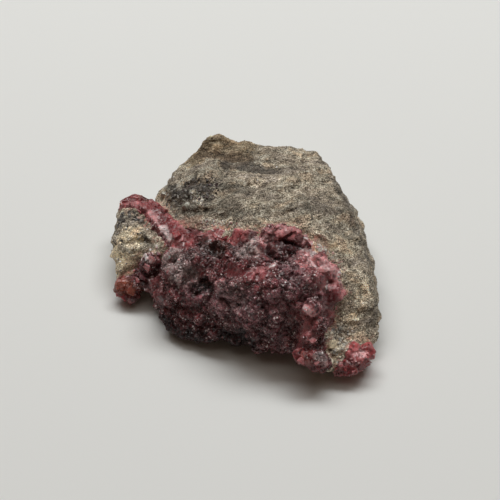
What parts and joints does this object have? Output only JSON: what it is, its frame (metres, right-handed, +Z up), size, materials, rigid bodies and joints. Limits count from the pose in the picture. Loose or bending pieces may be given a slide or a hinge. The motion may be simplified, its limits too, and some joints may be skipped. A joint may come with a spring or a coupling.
{
  "type": "mineral specimen",
  "caption": "Palm-sized slab of grey layered rock with a lumpy crust of dark red eudialyte crystals along its front, and brighter crystals on its left lobe and right foot.",
  "frame": {"origin": "middle of the bounding box's underside, on the flat that the rock rests on", "axes": "+X to the right of the specimen's front, +Y to its back, +Z up"},
  "size_m": [0.063, 0.0614, 0.0234],
  "materials": {
    "grey_layered_rock": "rough, broken",
    "dark_red_eudialyte": "glassy crystal faces",
    "bright_red_eudialyte": "glassy crystal faces"
  },
  "bodies": {
    "root": {"matrix": "grey_layered_rock", "main_eudialyte": "dark_red_eudialyte", "right_toe_eudialyte": "bright_red_eudialyte"}
  },
  "joints": []
}
